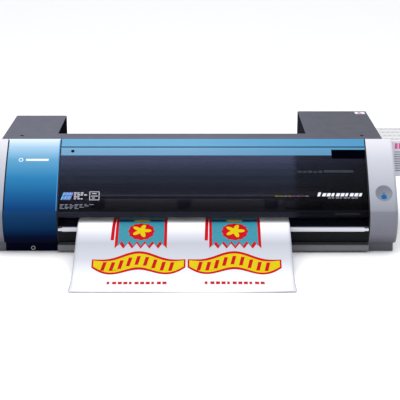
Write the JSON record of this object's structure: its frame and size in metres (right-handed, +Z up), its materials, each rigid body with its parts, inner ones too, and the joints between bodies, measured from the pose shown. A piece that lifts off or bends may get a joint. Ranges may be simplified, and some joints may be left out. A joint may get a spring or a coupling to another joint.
{
  "type": "vinyl cutter",
  "caption": "Desktop print-and-cut vinyl cutter: hinged smoked cover, sliding print and blade carriage, roller feed, side ink cartridges and a printed sheet.",
  "frame": {"origin": "on the desk plane, under the middle of the whole machine with its cartridges and sheet", "axes": "+X to the operator's right, +Y to the back, +Z up; the front faces -Y"},
  "size_m": [1.053, 0.7606, 0.255],
  "materials": {
    "pan_steel": "satin",
    "foot_rubber": "matt",
    "silver_cover": "satin silver paint",
    "black_plastic": "matt",
    "blue_panel": "gloss blue, paler towards the top",
    "dish_plastic": "satin",
    "blue_button": "gloss, lit",
    "grey_cover": "fine texture",
    "blue_band": "gloss light blue",
    "dark_screw": "black oxide",
    "shaft_steel": "ground",
    "apron_gloss": "gloss",
    "silver_bar": "satin",
    "strip_grey": "satin",
    "platen_steel": "satin black",
    "cutting_strip": "matt",
    "media": "satin vinyl, printed",
    "bush_brass": "turned",
    "belt_rubber": "matt",
    "motor_black": "satin",
    "plate_steel": "zinc plated",
    "station_grey": "matt",
    "inlet_black": "matt",
    "board_green": "solder mask",
    "plate_black": "satin black",
    "smoked_window": "smoked, gloss",
    "gloss_black": "gloss",
    "carriage_black": "satin",
    "head_steel": "fine",
    "holder_aluminium": "anodised",
    "grit_steel": "knurled",
    "arm_steel": "zinc plated",
    "pinch_rubber": "matt",
    "lever_blue": "satin",
    "roll_grey": "satin",
    "rocker_black": "satin",
    "cartridge": "frosted"
  },
  "bodies": {
    "chassis": {"base_pan": "pan_steel", "feet": "foot_rubber", "left_end_cap": "silver_cover", "left_partition": "black_plastic", "left_front_panel": "blue_panel", "right_pillar": "silver_cover", "button_dish": "dish_plastic", "left_rear_box": "grey_cover", "right_rear_box": "grey_cover", "top_cover": "grey_cover", "upper_band": "blue_band", "cover_screws": "dark_screw", "cover_hinge_pins": "shaft_steel", "front_apron": "apron_gloss", "apron_bar": "silver_bar", "lower_fascia": "black_plastic", "bottom_strip": "strip_grey", "platen": "platen_steel", "cutting_strip": "cutting_strip", "media_sheet": "media", "roller_bushes": "bush_brass", "feed_belt": "belt_rubber", "feed_motor": "motor_black", "guide_beam": "plate_steel", "linear_rail": "shaft_steel", "carriage_motor": "motor_black", "carriage_belt": "belt_rubber", "maintenance_station": "station_grey", "ink_bay": "black_plastic", "roll_brackets": "plate_steel", "inlet_module": "inlet_black", "main_board": "board_green", "power_supply": "pan_steel", "left_side_plate": "plate_black", "right_side_plate": "plate_black"},
    "front_cover": {"cover_window": "smoked_window", "cover_band": "blue_band", "cover_stiffener": "black_plastic", "sensor_window": "gloss_black", "cover_screw": "dark_screw"},
    "power_button": {"power_button": "blue_button"},
    "carriage": {"carriage_body": "carriage_black", "print_head": "head_steel"},
    "blade_holder": {"blade_holder": "holder_aluminium"},
    "drive_pulley": {"drive_pulley": "holder_aluminium"},
    "idler_pulley": {"idler_pulley": "holder_aluminium"},
    "feed_roller": {"grit_roller": "grit_steel", "feed_pulley": "holder_aluminium"},
    "feed_motor_pulley": {"feed_motor_pulley": "holder_aluminium"},
    "pinch_arms": {"pinch_arms": "arm_steel"},
    "pinch_rollers": {"pinch_rollers": "pinch_rubber"},
    "loading_lever": {"pinch_shaft": "shaft_steel", "loading_lever": "lever_blue"},
    "roll_shaft_front": {"roll_shaft_front": "roll_grey"},
    "roll_shaft_rear": {"roll_shaft_rear": "roll_grey"},
    "switch_rocker": {"switch_rocker": "rocker_black"},
    "ink_cartridge_1": {"ink_cartridge_1": "cartridge"},
    "ink_cartridge_2": {"ink_cartridge_2": "cartridge"},
    "ink_cartridge_3": {"ink_cartridge_3": "cartridge"},
    "ink_cartridge_4": {"ink_cartridge_4": "cartridge"}
  },
  "joints": [
    {"name": "front_cover_hinge", "type": "hinge", "parent": "chassis", "child": "front_cover", "pos_m": [-0.0295, 0.0227, 0.23594], "axis": [-1, 0, 0], "range_deg": [0, 60]},
    {"name": "power_button_push", "type": "slide", "parent": "chassis", "child": "power_button", "axis": [0, 0.7679, -0.6406], "range_m": [0, 0.0015], "stiffness_N_per_m": 400},
    {"name": "carriage_slide", "type": "slide", "parent": "chassis", "child": "carriage", "axis": [1, 0, 0], "range_m": [-0.64, 0]},
    {"name": "drive_pulley_turn", "type": "hinge", "parent": "chassis", "child": "drive_pulley", "pos_m": [-0.3405, -0.00925, 0.165], "axis": [0, 1, 0], "range_deg": [0, 4100]},
    {"name": "idler_pulley_turn", "type": "hinge", "parent": "chassis", "child": "idler_pulley", "pos_m": [0.3755, -0.00925, 0.165], "axis": [0, 1, 0], "range_deg": [0, 4100]},
    {"name": "blade_drop", "type": "slide", "parent": "carriage", "child": "blade_holder", "axis": [0, 0, -1], "range_m": [0, 0.003], "stiffness_N_per_m": 1500},
    {"name": "feed_roller_turn", "type": "hinge", "parent": "chassis", "child": "feed_roller", "pos_m": [-0.0295, 0.01075, 0.0721], "axis": [1, 0, 0], "continuous": true},
    {"name": "feed_motor_turn", "type": "hinge", "parent": "chassis", "child": "feed_motor_pulley", "pos_m": [0.4085, 0.04875, 0.052], "axis": [1, 0, 0], "continuous": true},
    {"name": "pinch_roller_turn", "type": "hinge", "parent": "pinch_arms", "child": "pinch_rollers", "pos_m": [-0.0295, 0.01075, 0.0912], "axis": [1, 0, 0], "continuous": true},
    {"name": "lever_swing", "type": "hinge", "parent": "chassis", "child": "loading_lever", "pos_m": [-0.0295, 0.04675, 0.106], "axis": [1, 0, 0], "range_deg": [0, 40]},
    {"name": "pinch_arm_lift", "type": "hinge", "parent": "chassis", "child": "pinch_arms", "pos_m": [-0.0295, 0.04675, 0.106], "axis": [-1, 0, 0], "range_deg": [0, 8]},
    {"name": "roll_shaft_front_turn", "type": "hinge", "parent": "chassis", "child": "roll_shaft_front", "pos_m": [-0.0295, 0.21375, 0.06], "axis": [1, 0, 0], "continuous": true},
    {"name": "roll_shaft_rear_turn", "type": "hinge", "parent": "chassis", "child": "roll_shaft_rear", "pos_m": [-0.0295, 0.32875, 0.06], "axis": [1, 0, 0], "continuous": true},
    {"name": "mains_rocker_tilt", "type": "hinge", "parent": "chassis", "child": "switch_rocker", "pos_m": [0.3805, 0.37575, 0.07], "axis": [-1, 0, 0], "range_deg": [0, 20]},
    {"name": "cartridge_1_slide", "type": "slide", "parent": "chassis", "child": "ink_cartridge_1", "axis": [1, 0, 0], "range_m": [0, 0.14]},
    {"name": "cartridge_2_slide", "type": "slide", "parent": "chassis", "child": "ink_cartridge_2", "axis": [1, 0, 0], "range_m": [0, 0.14]},
    {"name": "cartridge_3_slide", "type": "slide", "parent": "chassis", "child": "ink_cartridge_3", "axis": [1, 0, 0], "range_m": [0, 0.14]},
    {"name": "cartridge_4_slide", "type": "slide", "parent": "chassis", "child": "ink_cartridge_4", "axis": [1, 0, 0], "range_m": [0, 0.14]}
  ],
  "couplings": [
    {"joint": "drive_pulley_turn", "follows": "carriage_slide", "rad_per_m": -110.5},
    {"joint": "idler_pulley_turn", "follows": "carriage_slide", "rad_per_m": -110.5},
    {"joint": "feed_motor_turn", "follows": "feed_roller_turn", "ratio": 2.326},
    {"joint": "pinch_roller_turn", "follows": "feed_roller_turn", "ratio": -1.25},
    {"joint": "pinch_arm_lift", "follows": "lever_swing", "ratio": 0.2}
  ]
}
